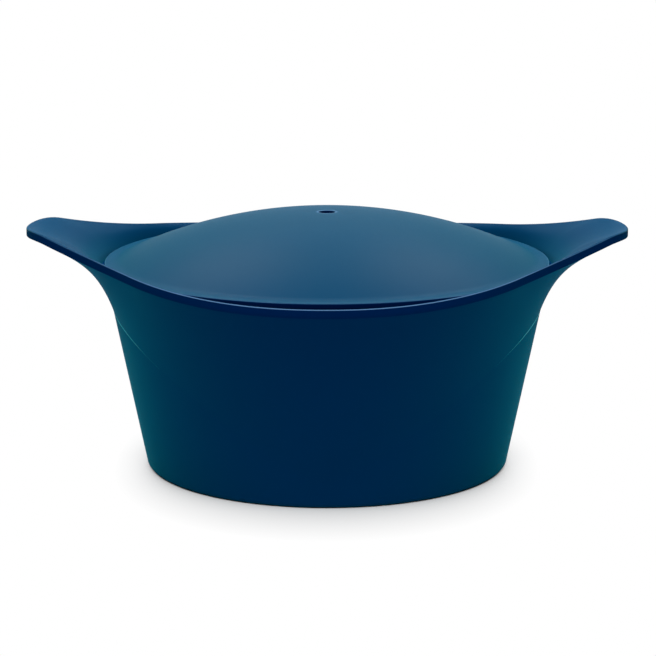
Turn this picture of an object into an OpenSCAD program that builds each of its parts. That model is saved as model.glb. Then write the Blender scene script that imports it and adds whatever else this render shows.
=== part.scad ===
// Round cast casserole pot. Its flared rim grows into two wing handles, a domed lid lies loose
// in the rim, and a steel disc is let into the underside.
// Millimetres. The pot stands on z = 0, the handles point along X and the front faces -Y.

/* [Pot] */
// Radius of the rim at the front and the back
rim_r = 123; // [118:0.5:135]
// Height of the rim at the front and the back
rim_h = 106; // [96:1:130]
// Radius of the foot
base_r = 95; // [88:0.5:100]
// Rounding between the foot and the side
base_round = 2.5; // [1:0.5:6]
// How far the rim stands out beyond the plain cone of the side
rim_out = 7; // [5:0.5:11]
// Wall of the pot just above its floor
wall_t = 4; // [3:0.25:6]
// Height of the inner floor above the table
floor_h = 5.5; // [4.5:0.25:9]
// Rounding between the inner floor and the wall
floor_round = 12; // [4:1:25]

/* [Handles] */
// Distance from the middle of the pot to a handle's tip
handle_reach = 156; // [148:1:170]
// Radius of a handle's tip, seen from above
tip_r = 41; // [32:1:48]
// Radius of the hollow curve between the rim circle and the tip
neck_r = 330; // [200:10:500]
// Climb of the rim line towards the tips, before the tips droop
handle_rise = 22.1; // [10:0.1:30]
// How late the rim line climbs: 1 is a straight ramp
rise_power = 2.45; // [1.8:0.05:3]
// Droop of the rim line at the very tip
tip_droop = 3.5; // [0:0.25:5]
// Length of the drooping end
droop_len = 13; // [6:1:20]
// Height of the upright edge that runs all round the rim
edge_h = 4.5; // [3.5:0.25:7]
// Rounding of that edge's top
edge_round = 0.7; // [0.3:0.1:1.5]
// Height over which the flare turns into that edge at the front and the back
edge_blend = 1.8; // [1:0.1:1.9]
// The same height at the handles' tips
tip_blend = 0.8; // [0.5:0.1:1.9]

/* [Flare] */
// Height at the sides where the flare leaves the cone
flare_side_h = 84; // [70:1:90]
// Height at the front and back where the flare leaves the cone
flare_front_h = 12; // [8:1:40]
// How fast that line drops from the sides to the front
flare_fade = 1.22; // [1:0.02:2]
// How fast the handle section turns into the front section
handle_fade = 1.9; // [1:0.1:3]
// Bend of the front section: 1 is straight
front_power = 1.3; // [1:0.05:2]
// Share of the handle section that opens early
flare_share = 0.38; // [0.2:0.01:0.8]
// Bend of the early part
flare_open = 1.36; // [1:0.02:2]
// Bend of the late part, which turns out under the handle
flare_lip = 4.2; // [3:0.1:7]

/* [Lid seat] */
// Width of the rim from its outer edge to the lid's recess
rim_land = 5.5; // [4.5:0.25:7]
// Depth of the seat below the front rim
seat_drop = 1.9; // [1:0.1:3]
// Width of seat under the brim
seat_w = 3.5; // [2:0.25:5]
// Chamfer of the pot's mouth
mouth_chamfer = 0.6; // [0.2:0.1:1]
// Share of an even slope in the hollow top of the handles
dish_slope = 0.5; // [0.3:0.05:0.8]
// Bend of the hollow top beside the lid
dish_power = 4; // [2:0.5:6]

/* [Lid] */
// Gap round the brim
lid_gap = 2; // [1:0.25:4]
// Gap between the brim and its seat
seat_gap = 0.3; // [0.2:0.05:0.5]
// Thickness of the lid
lid_t = 3; // [2:0.25:4]
// Height of the dome above the brim
dome_rise = 24.9; // [18:0.1:32]
// Width of the brim up to where the dome's curve would meet it
brim_w = 5.2; // [5:0.1:9]
// Hollow rounding between the dome and the brim
brim_blend = 16; // [6:1:18]
// Rounding of the brim's edge
brim_round = 0.8; // [0.3:0.1:1.2]
// Height of the ring under the brim that keeps the lid in the mouth
ring_h = 4; // [2:0.5:8]
// Thickness of that ring
ring_t = 2.8; // [2:0.2:5]
// Gap between that ring and the mouth
ring_gap = 1.5; // [1:0.1:3]
// Diameter of the steam vent
vent_d = 8.2; // [6:0.2:10]
// Chamfer of the steam vent
vent_chamfer = 0.7; // [0.2:0.1:1.5]

/* [Base disc] */
// Radius of the steel disc
disc_r = 82; // [60:1:84]
// Thickness of the steel disc
disc_t = 1.5; // [1:0.1:2.5]
// How far the disc stands out below the foot
disc_proud = 0.3; // [0.1:0.1:0.6]
// Gap round the disc
disc_gap = 0.15; // [0.1:0.05:0.4]
// Plain border of the disc
disc_border = 8; // [3:1:20]
// Spacing of the turned grooves
groove_pitch = 8.5; // [4:0.5:9]
// Width of a groove
groove_w = 1; // [0.5:0.1:2]
// Depth of a groove
groove_depth = 0.25; // [0.1:0.05:0.5]

/* [Hidden] */
coat_blue = "#123f66";
bare_steel = "#b9bcbd";
$fn = 96;

// Steps of the pot's outer surface
quarter_steps = 24;
crowding = 1.25;
cone_steps = 3;
flare_steps = 12;
flare_crowding = 1.4;
dish_steps = 8;
dish_crowding = 1.5;
arc_steps = 8;
dome_steps = 28;
overrun = 1;

// Heights and radii that follow from the sizes above
foot_z = disc_proud;
round_top = foot_z + base_round;
cone_lean = (rim_r - rim_out - base_r) / (rim_h - round_top);
recess_r = rim_r - rim_land;
seat_z = rim_h - seat_drop;
lid_r = recess_r - lid_gap;
mouth_r = lid_r - seat_w;
lid_z = seat_z + seat_gap;
brim_top = lid_z + lid_t;
dome_foot = lid_r - brim_w;
dome_r = (dome_foot^2 + dome_rise^2) / (2 * dome_rise);
dome_top = brim_top + dome_rise;
dome_z = dome_top - dome_r;
blend_limit = ((lid_r - brim_round)^2 - dome_foot^2) / (2 * dome_rise);
blend_r = min(brim_blend, blend_limit);
groove_count = floor((disc_r - disc_border - groove_w) / groove_pitch);

// Rim outline from above: rim circle, hollow neck and tip circle touch each other
tip_x = handle_reach - tip_r;
neck_x = ((rim_r + neck_r)^2 - (tip_r + neck_r)^2 + tip_x^2) / (2 * tip_x);
neck_y = sqrt((rim_r + neck_r)^2 - neck_x^2);
rim_end = atan2(neck_y, neck_x);
tip_end = atan2(tip_r * neck_y / (tip_r + neck_r), tip_x + tip_r * (neck_x - tip_x) / (tip_r + neck_r));

function neck_radius(a) =
    let (along = neck_x * cos(a) + neck_y * sin(a))
    along - sqrt(along^2 - (neck_x^2 + neck_y^2 - neck_r^2));
function tip_radius(a) = tip_x * cos(a) + sqrt(tip_r^2 - (tip_x * sin(a))^2);
function rim_radius(a) =
    let (turn = acos(abs(cos(a))))
    turn >= rim_end ? rim_r : turn >= tip_end ? neck_radius(turn) : tip_radius(turn);

// Height of the rim's edge, which depends on the distance from the middle towards a handle
function rim_height(x) =
    let (drooping = max(0, abs(x) - handle_reach + droop_len) / droop_len)
    rim_h + handle_rise * (abs(x) / handle_reach)^rise_power - tip_droop * drooping^2;

// Side of the pot: a plain cone up to the line where the flare starts
function cone_radius(z) = base_r + cone_lean * (z - round_top);
function flare_start(a) = flare_front_h + (flare_side_h - flare_front_h) * abs(cos(a))^flare_fade;
function handle_share(a) = abs(cos(a))^handle_fade;
function flare_shape(t, a) =
    let (late = flare_share * t^flare_open + (1 - flare_share) * t^flare_lip)
    t^front_power + (late - t^front_power) * handle_share(a);
// Slope of that shape at its upper end
function flare_end(a) =
    let (late = flare_share * flare_open + (1 - flare_share) * flare_lip)
    front_power + (late - front_power) * handle_share(a);
function dish_shape(u) = dish_slope * u + (1 - dish_slope) * (1 - (1 - u)^dish_power);

function arc(centre, r, from, to, steps) =
    [for (i = [0 : steps]) let (a = from + (to - from) * i / steps) centre + r * [cos(a), sin(a)]];

// Section of the casting at one angle round the pot, from the foot over the rim to the lid's seat
function section(a) =
    let (
        rim = rim_radius(a),
        top = rim_height(rim * cos(a)),
        low = top - edge_h,
        start = flare_start(a),
        turn = atan(cone_lean + (rim - cone_radius(low)) * flare_end(a) / (low - start)),
        turn_h = edge_blend + (tip_blend - edge_blend) * handle_share(a),
        turn_r = turn_h / sin(turn),
        over = rim - turn_h * tan(turn / 2) - cone_radius(low)
    )
    concat(
        arc([base_r - base_round, round_top], base_round, -90, 0, 3),
        [for (i = [1 : cone_steps])
            let (z = round_top + (start - round_top) * i / cone_steps)
            [cone_radius(z), z]],
        [for (i = [1 : flare_steps])
            let (t = 1 - (1 - i / flare_steps)^flare_crowding, z = start + (low - start) * t)
            [cone_radius(z) + over * flare_shape(t, a), z]],
        arc([rim - turn_r, low + turn_h], turn_r, -turn / 2, 0, 1),
        arc([rim - edge_round, top - edge_round], edge_round, 0, 45, 1),
        [for (i = [dish_steps : -1 : 0])
            let (u = (i / dish_steps)^dish_crowding)
            [recess_r + (rim - edge_round - recess_r) * u, seat_z + (top - seat_z) * dish_shape(u)]]
    );

// Angles round the pot, closer together at the handles' tips
function crowd(i) = 90 * (i / quarter_steps)^crowding;
angles = [
    for (half = [0, 180]) each concat(
        [for (i = [0 : quarter_steps - 1]) half + crowd(i)],
        [for (i = [quarter_steps : -1 : 1]) half + 180 - crowd(i)]
    )
];

// The casting's outside as a closed solid, flat at the foot and at the lid's seat
module casting() {
    sections = [for (a = angles) section(a)];
    around = len(angles);
    along = len(sections[0]);
    corners = [
        for (i = [0 : around - 1])
            for (p = sections[i])
                [p.x * cos(angles[i]), p.x * sin(angles[i]), p.y]
    ];
    sides = [
        for (i = [0 : around - 1])
            let (
                here = i * along,
                next = ((i + 1) % around) * along,
                mirrored = floor(i / quarter_steps) % 2 == 1
            )
            for (j = [0 : along - 2])
                each mirrored
                    ? [[here + j, here + j + 1, next + j + 1], [here + j, next + j + 1, next + j]]
                    : [[here + j, here + j + 1, next + j], [here + j + 1, next + j + 1, next + j]]
    ];
    foot = [for (i = [0 : around - 1]) i * along];
    seat = [for (i = [around - 1 : -1 : 0]) i * along + along - 1];
    polyhedron(corners, concat(sides, [foot, seat]));
}

// The pot's inside: flat floor, rounded corner, conical wall and chamfered mouth
module inside() {
    inner_r = base_r - wall_t;
    lean = (mouth_r - inner_r) / (seat_z - floor_h);
    corner = [inner_r + lean * floor_round - floor_round * sqrt(1 + lean^2), floor_h + floor_round];
    rotate_extrude()
        polygon(concat(
            [[0, floor_h]],
            arc(corner, floor_round, -90, -atan(lean), arc_steps),
            [
                [mouth_r - lean * mouth_chamfer, seat_z - mouth_chamfer],
                [mouth_r + mouth_chamfer, seat_z],
                [mouth_r + mouth_chamfer, seat_z + overrun],
                [0, seat_z + overrun]
            ]
        ));
}

module pot_body() {
    color(coat_blue)
        difference() {
            casting();
            inside();
            translate([0, 0, -overrun])
                cylinder(r = disc_r + disc_gap, h = disc_t + overrun);
        }
}

module base_disc() {
    color(bare_steel)
        difference() {
            cylinder(r = disc_r, h = disc_t);
            for (i = [1 : groove_count])
                translate([0, 0, -overrun])
                    difference() {
                        cylinder(r = i * groove_pitch + groove_w, h = groove_depth + overrun);
                        cylinder(r = i * groove_pitch, h = groove_depth + overrun);
                    }
        }
}

// Half section of the lid: dome, hollow blend, brim, locating ring and the dome's underside
module lid_half() {
    blend_z = brim_top + blend_r;
    blend_x = sqrt(dome_foot^2 + 2 * blend_r * dome_rise);
    dome_end = atan2(blend_z - dome_z, blend_x);
    ring_r = mouth_r - ring_gap;
    under_r = dome_r - lid_t;
    polygon(concat(
        arc([0, dome_z], dome_r, 90, dome_end, dome_steps),
        arc([blend_x, blend_z], blend_r, dome_end + 180, 270, arc_steps),
        arc([lid_r - brim_round, brim_top - brim_round], brim_round, 90, 0, 3),
        arc([lid_r - brim_round, lid_z + brim_round], brim_round, 0, -90, 3),
        [[ring_r, lid_z], [ring_r, lid_z - ring_h], [ring_r - ring_t, lid_z - ring_h]],
        arc([0, dome_z], under_r, acos((ring_r - ring_t) / under_r), 90, dome_steps)
    ));
}

module lid() {
    color(coat_blue)
        difference() {
            rotate_extrude()
                lid_half();
            translate([0, 0, dome_top - lid_t - overrun])
                cylinder(d = vent_d, h = lid_t + 2 * overrun);
            translate([0, 0, dome_top - vent_chamfer])
                cylinder(r1 = vent_d / 2, r2 = vent_d / 2 + 2 * vent_chamfer, h = 2 * vent_chamfer);
        }
}

pot_body();
base_disc();
lid();
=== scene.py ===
"""Cast casserole pot with wing handles and a loose domed lid, dressed on its packed construction."""

import math

import bpy
import numpy as np
from bpy.props import FloatProperty, FloatVectorProperty, IntProperty, PointerProperty
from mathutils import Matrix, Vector


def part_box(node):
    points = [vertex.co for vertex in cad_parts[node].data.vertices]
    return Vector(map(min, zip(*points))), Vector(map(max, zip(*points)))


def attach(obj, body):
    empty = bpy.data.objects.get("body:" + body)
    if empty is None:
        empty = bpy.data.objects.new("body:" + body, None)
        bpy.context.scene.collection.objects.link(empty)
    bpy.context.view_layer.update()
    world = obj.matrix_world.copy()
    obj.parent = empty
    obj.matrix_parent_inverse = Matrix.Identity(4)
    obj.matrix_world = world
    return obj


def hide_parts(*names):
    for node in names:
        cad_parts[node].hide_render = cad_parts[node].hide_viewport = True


bl_info = {
    "name": "Casserole Pot",
    "version": (1, 0, 0),
    "blender": (4, 5, 0),
    "location": "View3D > Sidebar > Casserole",
    "description": "Cast casserole pot with wing handles and a domed lid",
    "category": "Add Mesh",
}

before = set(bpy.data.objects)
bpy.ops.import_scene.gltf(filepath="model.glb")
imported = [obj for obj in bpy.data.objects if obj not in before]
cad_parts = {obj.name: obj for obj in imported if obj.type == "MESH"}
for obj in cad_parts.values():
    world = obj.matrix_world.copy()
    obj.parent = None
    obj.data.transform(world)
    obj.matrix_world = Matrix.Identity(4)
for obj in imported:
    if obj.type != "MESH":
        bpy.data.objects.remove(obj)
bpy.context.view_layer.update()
POT_LOW, POT_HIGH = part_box("pot_body")
LID_LOW, LID_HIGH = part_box("lid")
DISC_LOW, DISC_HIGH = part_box("base_disc")

MM = 0.001

# Attribute of the light and shade painted on each point: painted highlight above 0, painted shade below 0
PAINTED_LIGHT = "painted_light_and_shade"
DEEPEST_SHADE = -1.0

# Sockets of a Mix node that mixes colours
FACTOR, COLOUR_A, COLOUR_B = 0, 6, 7
MIXED_COLOUR = 2

# How much the pot's mesh columns crowd towards the handles
TURN_CROWD = 1.25
# Mesh rows just below the mould line, and as many across it
MOULD_ROWS = 6
# Least share of its width that the mould line's rows keep where it has faded out
LEAST_MOULD = 0.1
# Mesh rows on the flare, and how much they crowd towards both ends
FLARE_ROWS = 48
FLARE_CROWD = 0.09
# Mesh rows on the rim's rounded edge: the first carry the upright edge's painted shade, the next ones a
# painted highlight
EDGE_ROWS = 8
EDGE_SHADE_ROWS = 2
EDGE_HIGHLIGHT_ROWS = 4
# Degrees through which that rounded edge turns before the hollow top begins
EDGE_TURN = 80
# Mesh rows on the hollow top, and how much they crowd towards the lid
TOP_ROWS = 28
TOP_CROWD = 1.5
# Rows from the lid where the gap's painted shade starts, and the rows over which it comes in
GAP_ROWS = 5
GAP_EASE = 3

# Edges that turn by more degrees than this stay sharp
SHARP_ANGLE = 50
# Points closer than this become one
MERGE_GAP = 0.001 * MM
# Room for rounding where radii are compared
NEAR = 0.01 * MM
# A face whose normal is lower than this looks down
LOOKS_DOWN = -0.1


def linear(hex_colour):
    """An sRGB hex colour as linear red, green, blue and alpha."""
    channels = [int(hex_colour[i : i + 2], 16) / 255 for i in (1, 3, 5)]
    steps = [c / 12.92 if c <= 0.04045 else ((c + 0.055) / 1.055) ** 2.4 for c in channels]
    return (*steps, 1.0)


def length(name, description, metres):
    """A length that a user can change."""
    return FloatProperty(name=name, description=description, default=metres, unit="LENGTH", precision=5)


def lengths(name, description, *metres):
    """A place or the sides of a rectangle that a user can change."""
    return FloatVectorProperty(
        name=name, description=description, default=metres, size=len(metres), unit="LENGTH"
    )


def share(name, description, value):
    """A plain number that a user can change."""
    return FloatProperty(name=name, description=description, default=value, precision=3)


def colour(name, description, hex_colour):
    """A colour that a user can change."""
    return FloatVectorProperty(
        name=name,
        description=description,
        default=linear(hex_colour),
        size=4,
        subtype="COLOR",
        min=0,
        max=1,
    )


class PotSizes(bpy.types.PropertyGroup):
    """Sizes of the cast pot. Its reach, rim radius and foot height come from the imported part."""

    rim_r: length("Rim radius", "Radius of the rim at the front and back", POT_HIGH.y)
    rim_h: length("Rim height", "Height of the rim at the front and back", 106 * MM)
    rim_out: length("Rim overhang", "How far the rim stands out beyond the plain cone", 7 * MM)
    base_r: length("Foot radius", "Radius of the foot", 95 * MM)
    base_round: length("Foot rounding", "Rounding between the foot and the side", 2.5 * MM)
    disc_gap: length("Disc gap", "Gap round the steel disc", 0.15 * MM)
    recess_round: length("Recess rounding", "Rounding of the lower edge of the disc's recess", 0.3 * MM)
    wall_t: length("Wall", "How much smaller the inner floor's radius is than the foot's", 4 * MM)
    floor_h: length("Inner floor", "Height of the inner floor", 5.5 * MM)
    floor_round: length("Floor rounding", "Rounding between the inner floor and the wall", 12 * MM)
    reach: length("Handle reach", "Distance from the middle to a handle's tip", POT_HIGH.x)
    tip_r: length("Tip radius", "Radius of a handle's tip from above", 41 * MM)
    neck_r: length("Neck radius", "Radius of the hollow curve beside a handle", 330 * MM)
    rise: length("Handle rise", "Climb of the rim line towards the tips", 22.1 * MM)
    rise_power: share("Rise power", "How late the rim line climbs", 2.45)
    droop: length("Tip droop", "Droop of the rim line at the very tip", 3.5 * MM)
    droop_len: length("Droop length", "Length of the drooping end", 13 * MM)
    edge_h: length("Edge height", "Height of the upright edge round the rim", 4.5 * MM)
    edge_round: length("Edge rounding", "Rounding of that edge's top", 0.7 * MM)
    edge_blend: length("Edge blend", "Height of the turn from flare to edge at the front", 1.8 * MM)
    tip_blend: length("Tip blend", "The same height at the handles' tips", 0.8 * MM)
    flare_side_h: length("Flare at the sides", "Height where the flare starts at the sides", 84 * MM)
    flare_front_h: length("Flare at the front", "Height where the flare starts at the front", 12 * MM)
    flare_fade: share("Flare fade", "How fast that line drops towards the front", 1.22)
    handle_fade: share("Handle fade", "How fast the handle's section turns into the front's", 1.9)
    front_power: share("Front bend", "Bend of the front's section", 1.3)
    flare_share: share("Flare share", "Share of the handle's section that opens early", 0.38)
    flare_open: share("Early bend", "Bend of the early part", 1.36)
    flare_lip: share("Late bend", "Bend of the late part under the handle", 4.2)
    rim_land: length("Rim land", "Width of the rim outside the lid's recess", 5.5 * MM)
    seat_drop: length("Seat drop", "Depth of the lid's seat below the front rim", 1.9 * MM)
    mouth_in: length("Seat width", "From the recess to the mouth", 5.5 * MM)
    mouth_chamfer: length("Mouth chamfer", "Chamfer of the mouth", 0.6 * MM)
    dish_slope: share("Dish slope", "Share of an even slope in the hollow handle top", 0.5)
    dish_power: share("Dish bend", "Bend of the hollow handle top beside the lid", 4.0)
    mould_h: length("Mould line", "Height of the mould line's ridge where the flare starts", 0.04 * MM)
    mould_w: length("Mould line width", "Width of that ridge at the sides", 0.8 * MM)
    mould_run: length("Mould line run", "Height of the fine mesh rows below that ridge", 3 * MM)
    mould_from: share("Mould line start", "Cosine of the turn from a handle where it fades out", 0.78)
    mould_ease: share("Mould line ease", "Change of that cosine up to its full height", 0.2)
    # Painted highlight on the mould line
    mould_highlight: share("Mould line coat", "How thin the coat lies on the mould line", 0.3)
    # Painted shade high on the front and back wall: its depth, how late it fades towards the sides and how
    # late it deepens up the wall
    front_shade: share("Front coat", "How thick the coat lies high on the front and back wall", 0.72)
    front_fade: share("Front coat fade", "How late that coat thins out towards the sides", 4.0)
    front_climb: share("Front coat climb", "How late that coat thickens up the wall", 0.7)
    # Painted shade on the upright edge, at the front and at the tips
    band_shade: share("Band coat", "How thick the coat lies on the upright edge at the front", 0.8)
    tip_band_shade: share("Tip band coat", "How thick the coat lies on the upright edge at the tips", 0.85)
    # Painted highlight along the rim's rounded edge, at the front and at the tips, and how late the one
    # turns into the other
    edge_highlight: share("Edge coat", "How thin the coat lies on the rim's rounded edge at the front", 0.95)
    tip_edge_highlight: share("Tip edge coat", "How thin the coat lies on that edge at the tips", 0.15)
    tip_fade: share("Tip edge fade", "How late the one turns into the other towards the tips", 5.0)
    # Painted shade on the handles' hollow tops, coming in over part of their width, and painted light on
    # the tips' tops from a distance on
    top_shade: share("Top coat", "How thick the coat lies on the handles' hollow tops", 0.25)
    top_ease: share("Top coat ease", "Share of the top's width over which that coat comes in", 0.4)
    tip_top_light: share("Tip top coat", "How thick the coat lies on the tops of the tips", -0.06)
    tip_from: length("Tip from", "Distance from the middle where the tips' top coat starts", 125 * MM)
    # Painted shade in the gap round the lid
    gap_shade: share("Gap coat", "How thick the coat lies in the gap round the lid", 0.6)
    turns: IntProperty(name="Turns", description="Mesh steps in a quarter turn", default=120)


class LidSizes(bpy.types.PropertyGroup):
    """Sizes of the cast lid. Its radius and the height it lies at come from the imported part."""

    lid_r: length("Lid radius", "Radius of the lid's edge", LID_HIGH.x)
    lid_t: length("Lid wall", "Thickness of the lid", 3 * MM)
    brim_w: length("Brim", "Width of the brim up to the dome's curve", 5.2 * MM)
    brim_blend: length("Brim blend", "Hollow rounding between dome and brim", 16 * MM)
    brim_round: length("Brim rounding", "Rounding of the brim's edge", 0.8 * MM)
    dome_rise: length("Dome rise", "Height of the dome above the brim", 24.9 * MM)
    ring_h: length("Ring height", "Height of the ring under the brim", 4 * MM)
    ring_t: length("Ring wall", "Thickness of that ring", 2.8 * MM)
    ring_in: length("Ring inset", "From the lid's edge to that ring", 5 * MM)
    ring_round: length("Ring rounding", "Rounding of that ring's lower edges", 0.6 * MM)
    vent_r: length("Vent radius", "Radius of the steam vent", 4.3 * MM)
    vent_round: length("Vent rounding", "Rounding of the vent's upper edge", 0.4 * MM)
    # Painted highlights on the brim's and the vent's upper edges, and the part of each rounding, from its
    # top, that they cover
    brim_highlight: share("Brim coat", "How thin the coat lies on the brim's upper edge", 0.22)
    highlit_brim_part: share("Brim coat part", "Part of the rounding, from its top, that it covers", 0.4)
    vent_highlight: share("Vent coat", "How thin the coat lies on the vent's upper edge", 0.5)
    highlit_vent_part: share("Vent coat part", "Part of the rounding, from its top, that it covers", 0.7)
    turns: IntProperty(name="Turns", description="Mesh steps in a full turn", default=288)


class DiscSizes(bpy.types.PropertyGroup):
    """Sizes of the steel disc in the underside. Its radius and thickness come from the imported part."""

    border: length("Border", "Plain border of the disc", 8 * MM)
    pitch: length("Groove pitch", "Spacing of the turned grooves", 8.5 * MM)
    groove_w: length("Groove width", "Width of a groove", 1 * MM)
    groove_depth: length("Groove depth", "Depth of a groove", 0.25 * MM)
    edge_round: length("Edge rounding", "Rounding of the disc's lower edge and slant of its side", 0.2 * MM)
    turns: IntProperty(name="Turns", description="Mesh steps in a full turn", default=192)


class Finishes(bpy.types.PropertyGroup):
    """Colours, gloss and bloom of the finishes."""

    coat: colour("Coat", "Blue coat on the wall and on upright edges", "#002B5B")
    # Greener than the wall's coat: part of the sheen seen at flat angles on the lid and the tops is painted
    # into it
    coat_with_painted_sheen: colour("Top coat", "Blue coat on the lid, the rim and the handles' tops", "#003459")
    coat_cloud: colour("Coat clouds", "What soft clouds leave of the coat's colour", "#F5F5F5")
    # Colours of the painted highlights and of the painted shade
    highlight_colour: colour("Thin coat", "Blue coat where it lies thin over an edge", "#5577A0")
    shade_colour: colour("Thick coat", "Blue coat where it lies thick on a sheltered face", "#001742")
    satin_bloom: colour("Satin bloom", "Bloom of the satin coat seen at a flat angle", "#00FF5A")
    matt_bloom: colour("Matt bloom", "Bloom of the matt coat seen at a flat angle", "#00FBFF")
    lid_gloss: share("Lid gloss", "Strength of the gloss on the lid", 0.0092)
    lid_bloom: share("Lid bloom", "Strength of the bloom on the lid", 0.076)
    # Less gloss and bloom on the tops' copy of the coat than on the lid's, as painted shade
    top_gloss: share("Top gloss", "Strength of the gloss on the rim and the handles' tops", 0.0058)
    top_bloom: share("Top bloom", "Strength of the bloom on the rim and the handles' tops", 0.045)
    # Next to no gloss on the wall's copy of the coat, as painted shade in place of reflections
    wall_gloss: share("Wall gloss", "Strength of the gloss on the wall", 0.0006)
    wall_bloom: share("Wall bloom", "Strength of the bloom on the wall", 0.21)
    # Raised gloss and bloom of the mould line's copy of the coat, for its painted highlight
    mould_gloss: share("Mould line gloss", "Strength of the gloss on the mould line", 0.05)
    mould_bloom: share("Mould line bloom", "Strength of the bloom on the mould line", 0.95)
    # Next to no gloss and bloom on the edges' copy of the coat, as painted shade
    edge_gloss: share("Edge gloss", "Strength of the gloss on the upright edges", 0.0002)
    edge_bloom: share("Edge bloom", "Strength of the bloom on the upright edges", 0.03)
    nonstick: colour("Nonstick", "Dark coat of the inside", "#181B1E")
    nonstick_fleck: colour("Fleck", "Light flecks in the dark coat", "#8C9196")
    steel: colour("Steel", "Turned ferritic steel", "#B4B3AE")
    floor: colour("Floor", "Plain pale floor", "#D2D2D2")
    surround: colour("Surround", "White round the pot, and of the floor beyond the shadow", "#FFFFFF")


class Studio(bpy.types.PropertyGroup):
    """Camera, softboxes, floor and shadow."""

    camera_x: length("Camera across", "Camera's place across the handles", 12.7 * MM)
    camera_y: length("Camera back", "Camera's place in front of the pot", -1260.0 * MM)
    camera_z: length("Camera height", "Camera's height above the table", 345.2 * MM)
    camera_tilt: FloatProperty(
        name="Tilt",
        description="How far the camera looks down",
        default=math.radians(12.2975),
        subtype="ANGLE",
    )
    camera_turn: FloatProperty(
        name="Turn", description="How far the camera turns to the left", default=0.00966, subtype="ANGLE"
    )
    lens: FloatProperty(name="Lens", description="Camera's focal length", default=135.07, unit="CAMERA")
    sensor: FloatProperty(name="Sensor", description="Camera's sensor width", default=36, unit="CAMERA")
    aim_h: length("Aim", "Height that the softboxes are aimed at", 70 * MM)
    overhead: share("Overhead", "Brightness of the overhead softbox, where 1 is white", 0.83)
    overhead_place: lengths("Overhead place", "Place of the overhead softbox", 0, 0, 1300 * MM)
    overhead_size: lengths("Overhead size", "Sides of the overhead softbox", 1600 * MM, 1600 * MM)
    front: share("Front", "Brightness of the softbox above the camera", 5.2)
    front_place: lengths("Front place", "Place of that softbox", 0, -900 * MM, 1500 * MM)
    front_size: lengths("Front size", "Sides of that softbox", 1600 * MM, 1000 * MM)
    back: share("Back", "Brightness of the two softboxes behind the pot", 21.6)
    back_place: lengths("Back place", "Place of the right one of the two", 380 * MM, 860 * MM, 1110 * MM)
    back_size: lengths("Back size", "Sides of each of the two", 450 * MM, 450 * MM)
    low_back: share("Low back", "Brightness of the low softbox behind the pot", 1.6)
    low_back_place: lengths("Low back place", "Place of that softbox", 0, 1210 * MM, 770 * MM)
    low_back_size: lengths("Low back size", "Sides of that softbox", 400 * MM, 400 * MM)
    floor_w: length("Floor width", "Width of the studio floor", 24000 * MM)
    shadow_from: length("Shadow from", "Distance from the middle where the shadow fades", 93.5 * MM)
    shadow_side: length("Shadow beside", "Reach of the shadow beside the pot", 18 * MM)
    shadow_front: length("Shadow in front", "Reach of the shadow in front of the pot", 56 * MM)
    bend_side: share("Bend beside", "How the shadow fades beside the pot: 1 is evenly", 0.3)
    bend_front: share("Bend in front", "How the shadow fades in front of the pot: 1 is evenly", 0.58)


def add_node(tree, kind, inputs=None, **settings):
    """Adds a node with its settings. A socket given as an input is linked, any other value is set."""
    node = tree.nodes.new(kind)
    for name, value in settings.items():
        setattr(node, name, value)
    for socket, value in (inputs or {}).items():
        if isinstance(value, bpy.types.NodeSocket):
            tree.links.new(value, node.inputs[socket])
        else:
            node.inputs[socket].default_value = value
    return node


def blank_material(name):
    """A new material without nodes, and its node tree."""
    material = bpy.data.materials.new(name)
    material.use_nodes = True
    material.node_tree.nodes.clear()
    return material, material.node_tree


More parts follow.
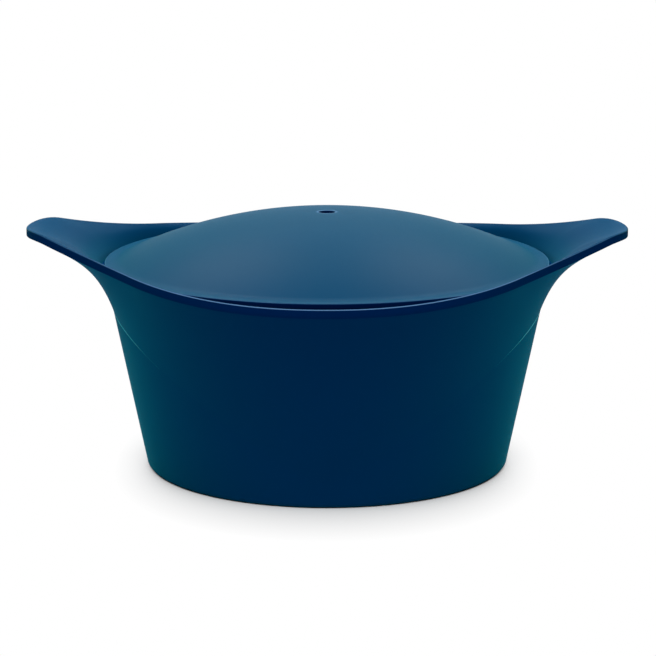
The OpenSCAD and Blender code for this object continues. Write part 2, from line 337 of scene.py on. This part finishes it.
def blue_coat(finish, name, coat, gloss, bloom, bloom_share):
    """Sprayed coat on cast aluminium: deep even blue, soft gloss and a sea-green bloom at flat angles."""
    material, tree = blank_material(name)
    place = add_node(tree, "ShaderNodeTexCoord").outputs["Object"]
    # The spray lies in soft clouds
    cloud_w = 60 * MM
    cloud = add_node(tree, "ShaderNodeTexNoise", {"Vector": place, "Scale": 1 / cloud_w, "Detail": 2.0})
    tone = add_node(
        tree,
        "ShaderNodeMix",
        {FACTOR: cloud.outputs["Fac"], COLOUR_A: coat, COLOUR_B: finish.coat_cloud},
        data_type="RGBA",
        blend_type="MULTIPLY",
    ).outputs[MIXED_COLOUR]
    # Painted highlights mix in a paler blue where the attribute is above 0, painted shade a darker blue
    # where it is below 0
    thin = add_node(tree, "ShaderNodeAttribute", attribute_name=PAINTED_LIGHT).outputs["Fac"]
    thick = add_node(tree, "ShaderNodeMath", {0: thin, 1: -1.0}, operation="MULTIPLY").outputs[0]
    deep = add_node(
        tree,
        "ShaderNodeMix",
        {FACTOR: thick, COLOUR_A: tone, COLOUR_B: finish.shade_colour},
        data_type="RGBA",
    ).outputs[MIXED_COLOUR]
    shade = add_node(
        tree,
        "ShaderNodeMix",
        {FACTOR: thin, COLOUR_A: deep, COLOUR_B: finish.highlight_colour},
        data_type="RGBA",
    ).outputs[MIXED_COLOUR]
    # Peel of the sprayed coat, from crest to crest and from crest to hollow
    peel_w, peel_h = 0.8 * MM, 0.02 * MM
    peel = add_node(tree, "ShaderNodeTexNoise", {"Vector": place, "Scale": 1 / peel_w, "Detail": 2.0})
    roughness = add_node(
        tree,
        "ShaderNodeMapRange",
        {"Value": peel.outputs["Fac"], "From Min": 0.3, "From Max": 0.7, "To Min": 0.42, "To Max": 0.48},
    )
    bump = add_node(
        tree, "ShaderNodeBump", {"Height": peel.outputs["Fac"], "Strength": 0.2, "Distance": peel_h}
    )
    shader = add_node(
        tree,
        "ShaderNodeBsdfPrincipled",
        {
            "Base Color": shade,
            "Roughness": roughness.outputs["Result"],
            "Normal": bump.outputs["Normal"],
            "IOR": 1.5,
            "Specular IOR Level": gloss,
            "Sheen Weight": bloom_share,
            "Sheen Roughness": 0.5,
            "Sheen Tint": bloom,
        },
    )
    add_node(tree, "ShaderNodeOutputMaterial", {"Surface": shader.outputs["BSDF"]})
    return material


def lid_coat(finish):
    """The coat on the lid: a soft gloss spreads the lamps' light over it."""
    name = "Sprayed satin coat on cast aluminium"
    # Its colour holds part of the painted sheen
    return blue_coat(finish, name, finish.coat_with_painted_sheen, finish.lid_gloss, finish.satin_bloom, finish.lid_bloom)


def top_coat(finish):
    """The coat on the rim and the handles' hollow tops: a copy of the lid's with a little less gloss and
    bloom, as painted shade on the tops.
    """
    name = "Sprayed top coat with painted shade on cast aluminium"
    return blue_coat(finish, name, finish.coat_with_painted_sheen, finish.top_gloss, finish.satin_bloom, finish.top_bloom)


def wall_coat(finish):
    """The coat on the upright wall: a copy of the lid's coat that shows next to no gloss, as painted shade
    in place of the reflections it would show.
    """
    name = "Sprayed wall coat with painted shade on cast aluminium"
    return blue_coat(finish, name, finish.coat, finish.wall_gloss, finish.matt_bloom, finish.wall_bloom)


def mould_coat(finish):
    """The coat on the mould line: a copy with raised gloss and bloom, so that it shines at flat angles as a
    painted highlight.
    """
    name = "Sprayed coat with painted highlight on cast aluminium"
    return blue_coat(finish, name, finish.coat, finish.mould_gloss, finish.matt_bloom, finish.mould_bloom)


def edge_coat(finish):
    """The coat on upright edges and in the gap round the lid: a copy with painted shade, deep, with next to
    no gloss or bloom.
    """
    name = "Sprayed edge coat with painted shade on cast aluminium"
    return blue_coat(finish, name, finish.coat, finish.edge_gloss, finish.matt_bloom, finish.edge_bloom)


def dark_nonstick(finish):
    """Sprayed nonstick coat: near black, satin, with pale mineral flecks."""
    material, tree = blank_material("Flecked nonstick coat")
    place = add_node(tree, "ShaderNodeTexCoord").outputs["Object"]
    # Flecks about 0.5 mm wide lie this far apart
    fleck_gap = 2.5 * MM
    flecks = add_node(
        tree, "ShaderNodeTexVoronoi", {"Vector": place, "Scale": 1 / fleck_gap, "Randomness": 1.0}
    )
    distance = flecks.outputs["Distance"]
    fleck = add_node(
        tree,
        "ShaderNodeMapRange",
        {"Value": distance, "From Min": 0.1, "From Max": 0.2, "To Min": 0.8, "To Max": 0.0},
    )
    tone = add_node(
        tree,
        "ShaderNodeMix",
        {FACTOR: fleck.outputs["Result"], COLOUR_A: finish.nonstick, COLOUR_B: finish.nonstick_fleck},
        data_type="RGBA",
    ).outputs[MIXED_COLOUR]
    # Peel of the sprayed coat, from crest to crest and from crest to hollow
    peel_w, peel_h = 1.0 * MM, 0.03 * MM
    peel = add_node(tree, "ShaderNodeTexNoise", {"Vector": place, "Scale": 1 / peel_w, "Detail": 2.0})
    bump = add_node(
        tree, "ShaderNodeBump", {"Height": peel.outputs["Fac"], "Strength": 0.25, "Distance": peel_h}
    )
    shader = add_node(
        tree,
        "ShaderNodeBsdfPrincipled",
        {"Base Color": tone, "Roughness": 0.42, "IOR": 1.4, "Normal": bump.outputs["Normal"]},
    )
    add_node(tree, "ShaderNodeOutputMaterial", {"Surface": shader.outputs["BSDF"]})
    return material


def turned_steel(finish):
    """Turned ferritic steel: grey metal with fine rings left by the lathe."""
    material, tree = blank_material("Turned ferritic steel")
    place = add_node(tree, "ShaderNodeTexCoord").outputs["Object"]
    # The lathe's rings and their depth: the wave repeats every 2 pi / 20 of its scaled length
    ring_gap, ring_depth = 0.6 * MM, 0.03 * MM
    wave_length = 2 * math.pi / 20
    rings = add_node(
        tree,
        "ShaderNodeTexWave",
        {"Vector": place, "Scale": wave_length / ring_gap, "Distortion": 0.6, "Detail": 2.0},
        wave_type="RINGS",
        rings_direction="Z",
    )
    # Soft patches where the steel is more or less polished
    patch_w = 25 * MM
    patches = add_node(tree, "ShaderNodeTexNoise", {"Vector": place, "Scale": 1 / patch_w, "Detail": 3.0})
    roughness = add_node(
        tree,
        "ShaderNodeMapRange",
        {"Value": patches.outputs["Fac"], "From Min": 0.3, "From Max": 0.7, "To Min": 0.26, "To Max": 0.4},
    )
    bump = add_node(
        tree, "ShaderNodeBump", {"Height": rings.outputs["Fac"], "Strength": 0.3, "Distance": ring_depth}
    )
    shader = add_node(
        tree,
        "ShaderNodeBsdfPrincipled",
        {
            "Base Color": finish.steel,
            "Metallic": 1.0,
            "Roughness": roughness.outputs["Result"],
            "Normal": bump.outputs["Normal"],
        },
    )
    add_node(tree, "ShaderNodeOutputMaterial", {"Surface": shader.outputs["BSDF"]})
    return material


def shown_rays(tree):
    """1 for rays that show the surface itself: from the camera, in gloss and through glass."""
    path = add_node(tree, "ShaderNodeLightPath").outputs
    gloss = add_node(
        tree, "ShaderNodeMath", {0: path["Is Camera Ray"], 1: path["Is Glossy Ray"]}, operation="MAXIMUM"
    )
    return add_node(
        tree, "ShaderNodeMath", {0: gloss.outputs[0], 1: path["Is Transmission Ray"]}, operation="MAXIMUM"
    ).outputs[0]


def pale_floor(finish, studio):
    """Painted studio floor: matt and pale, shown as white where no shadow falls."""
    material, tree = blank_material("Painted studio floor")
    matt = add_node(tree, "ShaderNodeBsdfDiffuse", {"Color": finish.floor})
    place = add_node(tree, "ShaderNodeTexCoord").outputs["Object"]
    distance = add_node(tree, "ShaderNodeVectorMath", {0: place}, operation="LENGTH").outputs["Value"]
    forward = add_node(tree, "ShaderNodeSeparateXYZ", {0: place}).outputs["Y"]
    facing = add_node(tree, "ShaderNodeMath", {0: forward, 1: distance}, operation="DIVIDE").outputs[0]
    front = add_node(tree, "ShaderNodeMath", {0: facing, 1: facing}, operation="MULTIPLY").outputs[0]

    def by_side(side, ahead):
        """A value that turns from the one beside the pot into the one in front of it."""
        return add_node(
            tree, "ShaderNodeMath", {0: front, 1: ahead - side, 2: side}, operation="MULTIPLY_ADD"
        ).outputs[0]

    reach = by_side(studio.shadow_side, studio.shadow_front)
    bend = by_side(studio.bend_side, studio.bend_front)
    beyond = add_node(
        tree, "ShaderNodeMath", {0: distance, 1: studio.shadow_from}, operation="SUBTRACT"
    ).outputs[0]
    away = add_node(
        tree, "ShaderNodeMath", {0: beyond, 1: reach}, operation="DIVIDE", use_clamp=True
    ).outputs[0]
    white = add_node(tree, "ShaderNodeMath", {0: away, 1: bend}, operation="POWER").outputs[0]
    level = add_node(
        tree, "ShaderNodeMath", {0: shown_rays(tree), 1: white}, operation="MULTIPLY"
    ).outputs[0]
    glow = add_node(tree, "ShaderNodeEmission", {"Color": finish.surround, "Strength": 1.0})
    both = add_node(tree, "ShaderNodeMixShader", {0: level, 1: matt.outputs[0], 2: glow.outputs[0]})
    add_node(tree, "ShaderNodeOutputMaterial", {"Surface": both.outputs[0]})
    return material


def blend(part):
    """Eases from 0 to 1."""
    part = min(1.0, max(0.0, part))
    return part * part * (3 - 2 * part)


def part_way(start, end, part):
    """The value that lies a part of the way from start to end."""
    return start + (end - start) * part


def arc(x, z, r, start, end, steps):
    """Points of an arc in a section, with the angles in degrees."""
    turns = [math.radians(start + (end - start) * i / steps) for i in range(steps + 1)]
    return [(x + r * math.cos(a), z + r * math.sin(a)) for a in turns]


def line(start, end, steps):
    """Points of a straight stretch after its start."""
    parts = [i / steps for i in range(1, steps + 1)]
    return [(part_way(start[0], end[0], part), part_way(start[1], end[1], part)) for part in parts]


def rim_radius(pot, angle):
    """Rim outline from above: rim circle, hollow neck and tip circle touch each other."""
    tip_x = pot.reach - pot.tip_r
    neck_x = ((pot.rim_r + pot.neck_r) ** 2 - (pot.tip_r + pot.neck_r) ** 2 + tip_x**2) / (2 * tip_x)
    neck_y = math.sqrt((pot.rim_r + pot.neck_r) ** 2 - neck_x**2)
    touch = pot.tip_r / (pot.tip_r + pot.neck_r)
    turn = math.acos(min(1.0, abs(math.cos(angle))))
    if turn >= math.atan2(neck_y, neck_x):
        return pot.rim_r
    if turn >= math.atan2(neck_y * touch, part_way(tip_x, neck_x, touch)):
        along = neck_x * math.cos(turn) + neck_y * math.sin(turn)
        return along - math.sqrt(along**2 - (neck_x**2 + neck_y**2 - pot.neck_r**2))
    return tip_x * math.cos(turn) + math.sqrt(pot.tip_r**2 - (tip_x * math.sin(turn)) ** 2)


def rim_height(pot, x):
    """Height of the rim's edge at a distance from the middle towards a handle."""
    drooping = max(0.0, abs(x) - pot.reach + pot.droop_len) / pot.droop_len
    return pot.rim_h + pot.rise * (abs(x) / pot.reach) ** pot.rise_power - pot.droop * drooping**2


def mould_share(pot, angle):
    """How strong the mould line is at one angle: full under the handles, fading towards front and back."""
    return blend((abs(math.cos(angle)) - pot.mould_from) / pot.mould_ease)


def foot_points(pot):
    """Points of the underside, from the middle of the disc's recess to the top of the foot's rounding."""
    foot_z, disc_top = POT_LOW.z, DISC_HIGH.z
    recess_r = DISC_HIGH.x + pot.disc_gap
    recess_z = foot_z + pot.recess_round
    points = [(0.0, disc_top)]
    points += line((0.0, disc_top), (recess_r, disc_top), steps=4)
    points += line((recess_r, disc_top), (recess_r, recess_z), steps=2)
    points += arc(recess_r + pot.recess_round, recess_z, pot.recess_round, 180, 270, steps=3)[1:]
    points += arc(pot.base_r - pot.base_round, foot_z + pot.base_round, pot.base_round, -90, 0, steps=6)
    return points


def top_points(pot, side, inner_edge, top):
    """Points of the hollow top from its edge in to the lid's recess, and the light and shade painted on
    them.
    """
    recess_r = pot.rim_r - pot.rim_land
    seat_z = pot.rim_h - pot.seat_drop
    points, coat = [], []
    for i in range(TOP_ROWS, -1, -1):
        part = (i / TOP_ROWS) ** TOP_CROWD
        climb = pot.dish_slope * part + (1 - pot.dish_slope) * (1 - (1 - part) ** pot.dish_power)
        r = part_way(recess_r, inner_edge, part)
        points.append((r, part_way(seat_z, top, climb)))
        # Painted shade on the hollow top that turns to painted light towards the tips, and deeper painted
        # shade in the gap
        tip = blend((r * side - pot.tip_from) / (pot.reach - pot.tip_from))
        thick = part_way(pot.top_shade, pot.tip_top_light, tip)
        gap = blend((GAP_ROWS - i) / GAP_EASE)
        coat.append(-thick * blend(part / pot.top_ease) - pot.gap_shade * gap)
    return points, coat


def inner_points(pot, seat_end):
    """Points of the inside after the end of the lid's seat: chamfer, wall, rounding and inner floor."""
    seat_r, seat_z = seat_end
    mouth_r = seat_r - pot.mouth_chamfer
    inner_r = pot.base_r - pot.wall_t
    lean = (mouth_r - inner_r) / (seat_z - pot.floor_h)
    corner_x = inner_r + lean * pot.floor_round - pot.floor_round * math.hypot(1, lean)
    corner_z = pot.floor_h + pot.floor_round
    corner = arc(corner_x, corner_z, pot.floor_round, -math.degrees(math.atan(lean)), -90, steps=10)
    lip = (mouth_r - lean * pot.mouth_chamfer, seat_z - pot.mouth_chamfer)
    points = line(seat_end, lip, steps=3)
    points += line(lip, corner[0], steps=10)
    points += corner[1:]
    points += line(corner[-1], (0.0, pot.floor_h), steps=6)
    return points


def pot_section(pot, angle):
    """Section of the pot at one angle, from the underside over the rim to the inner floor.

    Gives its points, the light and shade painted on each of them, the number of points up to the
    upright edge, up to its rounded top, up to the lid's seat and up to the mouth, and the number of points
    up to the top of the mould line.
    """
    round_top = POT_LOW.z + pot.base_round
    lean = (pot.rim_r - pot.rim_out - pot.base_r) / (pot.rim_h - round_top)
    side = abs(math.cos(angle))
    handle = side**pot.handle_fade
    rim = rim_radius(pot, angle)
    top = rim_height(pot, rim * math.cos(angle))
    low = top - pot.edge_h
    start = part_way(pot.flare_front_h, pot.flare_side_h, side**pot.flare_fade)
    cone = pot.base_r + lean * (low - round_top)
    late_bend = pot.flare_share * pot.flare_open + (1 - pot.flare_share) * pot.flare_lip
    end_bend = (1 - handle) * pot.front_power + handle * late_bend
    turn = math.atan(lean + (rim - cone) * end_bend / (low - start))
    turn_h = part_way(pot.edge_blend, pot.tip_blend, handle)
    turn_r = turn_h / math.sin(turn)
    over = rim - turn_h * math.tan(turn / 2) - cone
    mould = mould_share(pot, angle)
    mould_w = pot.mould_w * max(mould, LEAST_MOULD)

    def flare(z):
        """Radius of the outer wall at one height: cone, flare and the mould line's ridge."""
        part = max(0.0, (z - start) / (low - start))
        late = pot.flare_share * part**pot.flare_open + (1 - pot.flare_share) * part**pot.flare_lip
        out = over * ((1 - handle) * part**pot.front_power + handle * late)
        across = (z - start) / mould_w
        ridge = pot.mould_h * mould * blend(2 * across) * blend(2 - 2 * across)
        return pot.base_r + lean * (z - round_top) + out + ridge

    run_z = start - pot.mould_run
    points = foot_points(pot)
    points += line((pot.base_r, round_top), (flare(run_z), run_z), steps=14)
    heights = [part_way(run_z, start, i / MOULD_ROWS) for i in range(1, MOULD_ROWS + 1)]
    heights += [start + mould_w * i / MOULD_ROWS for i in range(1, MOULD_ROWS + 1)]
    mould_end = len(points) + len(heights)
    for i in range(1, FLARE_ROWS + 1):
        crowd = FLARE_CROWD * math.sin(2 * math.pi * i / FLARE_ROWS)
        heights.append(part_way(start + mould_w, low, i / FLARE_ROWS - crowd))
    points += [(flare(z), z) for z in heights]
    band = len(points)
    inner_edge, round_z = rim - pot.edge_round, top - pot.edge_round
    points += arc(rim - turn_r, low + turn_h, turn_r, -math.degrees(turn), 0, steps=6)[1:]
    points += line((rim, low + turn_h), (rim, round_z), steps=3)
    edge = len(points)
    points += arc(inner_edge, round_z, pot.edge_round, 0, EDGE_TURN, steps=EDGE_ROWS)[1:]
    top_rows, top_layer = top_points(pot, side, inner_edge, top)
    points += top_rows
    seat = len(points)
    recess_r, seat_z = top_rows[-1]
    points += line((recess_r, seat_z), (recess_r - pot.mouth_in + pot.mouth_chamfer, seat_z), steps=4)
    mouth = len(points)
    points += inner_points(pot, points[-1])

    front_shade = pot.front_shade * (1 - side**pot.front_fade)
    band_shade = part_way(pot.band_shade, pot.tip_band_shade, handle)
    edge_highlight = part_way(pot.edge_highlight, pot.tip_edge_highlight, side**pot.tip_fade)
    # Painted shade high on the front and back wall
    coat = [-front_shade * max(0.0, z / low) ** pot.front_climb for _, z in points[:band]]
    # Painted highlight on the mould line
    for i in range(mould_end - MOULD_ROWS, mould_end - 1):
        coat[i] += pot.mould_highlight * mould
    # Painted shade on the upright edge and the first rows of its rounded top
    coat += [-band_shade] * (edge - band + EDGE_SHADE_ROWS)
    # Painted highlight along the rim's rounded edge
    coat += [edge_highlight] * EDGE_HIGHLIGHT_ROWS
    coat += [0.0] * (EDGE_ROWS - EDGE_SHADE_ROWS - EDGE_HIGHLIGHT_ROWS)
    # Painted shade on the hollow tops and in the gap round the lid, painted light on the tips' tops
    coat += top_layer
    # Deepest painted shade on the lid's seat and the inside
    coat += [DEEPEST_SHADE] * (len(points) - len(coat))
    return points, coat, (band, edge, seat, mouth), mould_end


def finish_mesh(piece):
    """Merges seams and poles, turns all faces outwards and smooths all but sharp edges."""
    bpy.ops.object.mode_set(mode="EDIT")
    bpy.ops.mesh.select_all(action="SELECT")
    bpy.ops.mesh.remove_doubles(threshold=MERGE_GAP)
    bpy.ops.mesh.normals_make_consistent(inside=False)
    bpy.ops.object.mode_set(mode="OBJECT")
    bpy.ops.object.shade_smooth_by_angle(angle=math.radians(SHARP_ANGLE))
    return piece


def name_piece(name):
    """Names the object that was added last, and its mesh."""
    piece = bpy.context.active_object
    piece.name = name
    piece.data.name = name
    return piece


def place_points(piece, points):
    """Moves the piece's points, one by one, to the places given."""
    piece.data.vertices.foreach_set("co", np.asarray(points, dtype=np.float32).ravel())
    piece.data.update()


def write_painted_light(piece, coat):
    """Stores the light and shade painted on each point of the piece, for its materials to read."""
    piece.data.attributes.new(PAINTED_LIGHT, "FLOAT", "POINT").data.foreach_set("value", coat)


def spin_section(name, section, steps):
    """A ring of points, drawn as a closed section beside the axis and spun round it."""
    bpy.ops.object.select_all(action="DESELECT")
    bpy.ops.mesh.primitive_circle_add(vertices=len(section), fill_type="NOTHING")
    piece = name_piece(name)
    place_points(piece, [(r, 0.0, z) for r, z in section])
    bpy.ops.object.mode_set(mode="EDIT")
    bpy.ops.mesh.select_all(action="SELECT")
    bpy.ops.mesh.spin(steps=steps, angle=2 * math.pi, center=(0, 0, 0), axis=(0, 0, 1))
    bpy.ops.object.mode_set(mode="OBJECT")
    return finish_mesh(piece)


def sheet_place(place, columns, rows):
    """Column and row of a place on a flat sheet that is 1 wide and lies in the middle."""
    return (place.x + 0.5) * columns, (place.y + 0.5) * rows


class CASSEROLE_OT_pot(bpy.types.Operator):
    """Rolls a sheet up into the cast pot with its flare, handles, lid seat and inside"""

    bl_idname = "casserole.pot"
    bl_label = "Make the pot"

    def execute(self, context):
        pot, finish = context.scene.casserole_pot, context.scene.casserole_finishes
        quarter = [math.pi / 2 * (i / pot.turns) ** TURN_CROWD for i in range(pot.turns + 1)]
        half = quarter + [math.pi - angle for angle in reversed(quarter[:-1])]
        angles = half + [math.pi + angle for angle in half[1:]]
        sections = [pot_section(pot, angle) for angle in angles]
        points, _, marks, mould_end = sections[0]
        columns, rows = len(angles) - 1, len(points) - 1
        bpy.ops.object.select_all(action="DESELECT")
        bpy.ops.mesh.primitive_grid_add(x_subdivisions=columns, y_subdivisions=rows, size=1)
        piece = name_piece("pot_body_coated")
        for material in (wall_coat, edge_coat, top_coat, mould_coat, dark_nonstick):
            piece.data.materials.append(material(finish))
        wall, edge, top, mould, inside = range(len(piece.data.materials))
        for face in piece.data.polygons:
            column, row = sheet_place(face.center, columns, rows)
            # The upright edge and the lid's seat take the coat's copy with painted shade
            zone = sum(row > mark - 1 for mark in marks)
            face.material_index = (wall, edge, top, edge, inside)[zone]
            # The mould line's faces take the coat's copy with a painted highlight
            on_mould = mould_end - MOULD_ROWS - 1 < row < mould_end - 1
            if on_mould and mould_share(pot, angles[int(column)]) > 0:
                face.material_index = mould
        places, coat = [], []
        for point in piece.data.vertices:
            column, row = (round(step) for step in sheet_place(point.co, columns, rows))
            points, layers, _, _ = sections[column]
            r, z = points[row]
            places.append((r * math.cos(angles[column]), r * math.sin(angles[column]), z))
            coat.append(layers[row])
        place_points(piece, places)
        write_painted_light(piece, coat)
        finish_mesh(piece)
        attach(piece, "pot")
        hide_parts("pot_body")
        return {"FINISHED"}


class CASSEROLE_OT_lid(bpy.types.Operator):
    """Spins the lid's section: vent, dome, brim, locating ring and the dome's underside"""

    bl_idname = "casserole.lid"
    bl_label = "Make the lid"

    def execute(self, context):
        lid, finish = context.scene.casserole_lid, context.scene.casserole_finishes
        brim_low = LID_LOW.z + lid.ring_h
        brim_top = brim_low + lid.lid_t
        brim_in = lid.lid_r - lid.brim_round
        foot_r = lid.lid_r - lid.brim_w
        dome_r = (foot_r**2 + lid.dome_rise**2) / (2 * lid.dome_rise)
        dome_z = brim_top + lid.dome_rise - dome_r
        blend_x = math.sqrt(foot_r**2 + 2 * lid.brim_blend * lid.dome_rise)
        blend_z = brim_top + lid.brim_blend
        dome_end = math.degrees(math.atan2(blend_z - dome_z, blend_x))
        vent_edge = lid.vent_r + lid.vent_round
        dome_start = math.degrees(math.acos(vent_edge / dome_r))
        vent_top = dome_z + math.sqrt(dome_r**2 - vent_edge**2)
        under_r = dome_r - lid.lid_t
        ring_r = lid.lid_r - lid.ring_in
        ring_inner = ring_r - lid.ring_t
        ring_low = LID_LOW.z + lid.ring_round
        under_start = math.degrees(math.acos(ring_inner / under_r))
        under_end = math.degrees(math.acos(lid.vent_r / under_r))
        section = arc(vent_edge, vent_top - lid.vent_round, lid.vent_round, 180, 90, steps=6)
        section += arc(0, dome_z, dome_r, dome_start, dome_end, steps=72)[1:]
        section += arc(blend_x, blend_z, lid.brim_blend, dome_end + 180, 270, steps=16)[1:]
        section += arc(brim_in, brim_top - lid.brim_round, lid.brim_round, 90, 0, steps=6)
        section += arc(brim_in, brim_low + lid.brim_round, lid.brim_round, 0, -90, steps=6)
        section += line(section[-1], (ring_r, brim_low), steps=3)
        section += arc(ring_r - lid.ring_round, ring_low, lid.ring_round, 0, -90, steps=4)
        section += arc(ring_inner + lid.ring_round, ring_low, lid.ring_round, -90, -180, steps=4)
        section += arc(0, dome_z, under_r, under_start, under_end, steps=48)
        piece = spin_section("lid_coated", section, lid.turns)
        for material in (lid_coat, edge_coat, dark_nonstick):
            piece.data.materials.append(material(finish))
        dome, edge, inside = range(len(piece.data.materials))
        # Painted highlights on the upper parts of the brim's and the vent's roundings, deepest painted
        # shade on the rest of them: the lid's edge and the vent's bore
        highlit_brim_z = brim_top - lid.highlit_brim_part * lid.brim_round
        highlit_vent_z = vent_top - lid.highlit_vent_part * lid.vent_round
        coat = []
        for point in piece.data.vertices:
            r, z = math.hypot(point.co.x, point.co.y), point.co.z
            layer = 0.0
            if r > brim_in:
                layer = lid.brim_highlight if z > highlit_brim_z else DEEPEST_SHADE
            elif r < vent_edge + NEAR:
                layer = lid.vent_highlight if z > highlit_vent_z else DEEPEST_SHADE
            coat.append(layer)
        write_painted_light(piece, coat)
        for face in piece.data.polygons:
            r = math.hypot(face.center.x, face.center.y)
            # Faces wholly in painted shade take the coat's copy with painted shade
            if all(coat[i] < 0 for i in face.vertices):
                face.material_index = edge
            elif lid.vent_r < r < ring_inner + lid.ring_round and face.normal.z < LOOKS_DOWN:
                face.material_index = inside
            else:
                face.material_index = dome
        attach(piece, "lid")
        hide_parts("lid")
        return {"FINISHED"}


class CASSEROLE_OT_disc(bpy.types.Operator):
    """Spins the steel disc's section with its turned grooves"""

    bl_idname = "casserole.disc"
    bl_label = "Make the base disc"

    def execute(self, context):
        disc, finish = context.scene.casserole_disc, context.scene.casserole_finishes
        disc_r, top, low, edge = DISC_HIGH.x, DISC_HIGH.z, DISC_LOW.z, disc.edge_round
        section = [(0.0, top), (disc_r - edge, top)]
        section += arc(disc_r - edge, low + edge, edge, 0, -90, steps=3)
        grooves = int((disc_r - disc.border - disc.groove_w) / disc.pitch)
        for i in range(grooves, 0, -1):
            inner = i * disc.pitch
            middle, outer = inner + disc.groove_w / 2, inner + disc.groove_w
            section += [(outer, low), (middle, low + disc.groove_depth), (inner, low)]
        section.append((0.0, low))
        piece = spin_section("base_disc_turned", section, disc.turns)
        piece.data.materials.append(turned_steel(finish))
        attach(piece, "pot")
        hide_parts("base_disc")
        return {"FINISHED"}


def softbox(name, place, size, brightness, aim_h):
    """A rectangular lamp that faces a height on the pot's axis."""
    bpy.ops.object.light_add(type="AREA", location=place)
    lamp = bpy.context.active_object
    lamp.name = name
    lamp.rotation_euler = (Vector((0, 0, aim_h)) - lamp.location).to_track_quat("-Z", "Y").to_euler()
    lamp.data.shape = "RECTANGLE"
    lamp.data.size, lamp.data.size_y = size
    lamp.data.energy = brightness * math.pi * size[0] * size[1]


class CASSEROLE_OT_stage(bpy.types.Operator):
    """Sets up the floor, the light and the camera"""

    bl_idname = "casserole.stage"
    bl_label = "Set the stage"

    def execute(self, context):
        scene = context.scene
        studio, finish = scene.casserole_studio, scene.casserole_finishes
        bpy.ops.object.select_all(action="DESELECT")
        bpy.ops.mesh.primitive_plane_add(size=studio.floor_w)
        floor = name_piece("studio_floor")
        floor.data.materials.append(pale_floor(finish, studio))

        back_x, back_y, back_z = studio.back_place
        for name, place, size, brightness in (
            ("overhead_softbox", studio.overhead_place, studio.overhead_size, studio.overhead),
            ("front_softbox", studio.front_place, studio.front_size, studio.front),
            ("left_back_softbox", (-back_x, back_y, back_z), studio.back_size, studio.back),
            ("right_back_softbox", (back_x, back_y, back_z), studio.back_size, studio.back),
            ("low_back_softbox", studio.low_back_place, studio.low_back_size, studio.low_back),
        ):
            softbox(name, place, size, brightness, studio.aim_h)

        world = bpy.data.worlds.new("Studio surround")
        scene.world = world
        world.use_nodes = True
        tree = world.node_tree
        tree.nodes.clear()
        surround = add_node(
            tree, "ShaderNodeBackground", {"Color": finish.surround, "Strength": shown_rays(tree)}
        )
        add_node(tree, "ShaderNodeOutputWorld", {"Surface": surround.outputs[0]})

        bpy.ops.object.camera_add(
            location=(studio.camera_x, studio.camera_y, studio.camera_z),
            rotation=(math.pi / 2 - studio.camera_tilt, 0, studio.camera_turn),
        )
        camera = context.active_object
        camera.data.sensor_width = studio.sensor
        camera.data.lens = studio.lens
        scene.camera = camera
        scene.view_settings.view_transform = "Standard"
        return {"FINISHED"}


class CASSEROLE_PT_panel(bpy.types.Panel):
    """Lists the steps and the values of the casserole pot"""

    bl_idname = "CASSEROLE_PT_panel"
    bl_label = "Casserole Pot"
    bl_space_type = "VIEW_3D"
    bl_region_type = "UI"
    bl_category = "Casserole"

    def draw(self, context):
        for operator in OPERATORS:
            self.layout.operator(operator.bl_idname)
        for name in GROUPS:
            group = getattr(context.scene, name)
            box = self.layout.box()
            box.label(text=type(group).__name__)
            for value in type(group).__annotations__:
                box.prop(group, value)


GROUPS = {
    "casserole_pot": PotSizes,
    "casserole_lid": LidSizes,
    "casserole_disc": DiscSizes,
    "casserole_finishes": Finishes,
    "casserole_studio": Studio,
}
OPERATORS = (CASSEROLE_OT_pot, CASSEROLE_OT_lid, CASSEROLE_OT_disc, CASSEROLE_OT_stage)
CLASSES = (*GROUPS.values(), *OPERATORS, CASSEROLE_PT_panel)


def register():
    for cls in CLASSES:
        bpy.utils.register_class(cls)
    for name, group in GROUPS.items():
        setattr(bpy.types.Scene, name, PointerProperty(type=group))


def unregister():
    for name in GROUPS:
        delattr(bpy.types.Scene, name)
    for cls in reversed(CLASSES):
        bpy.utils.unregister_class(cls)


def main():
    register()
    bpy.ops.casserole.pot()
    bpy.ops.casserole.lid()
    bpy.ops.casserole.disc()
    bpy.ops.casserole.stage()


if __name__ == "__main__":
    main()
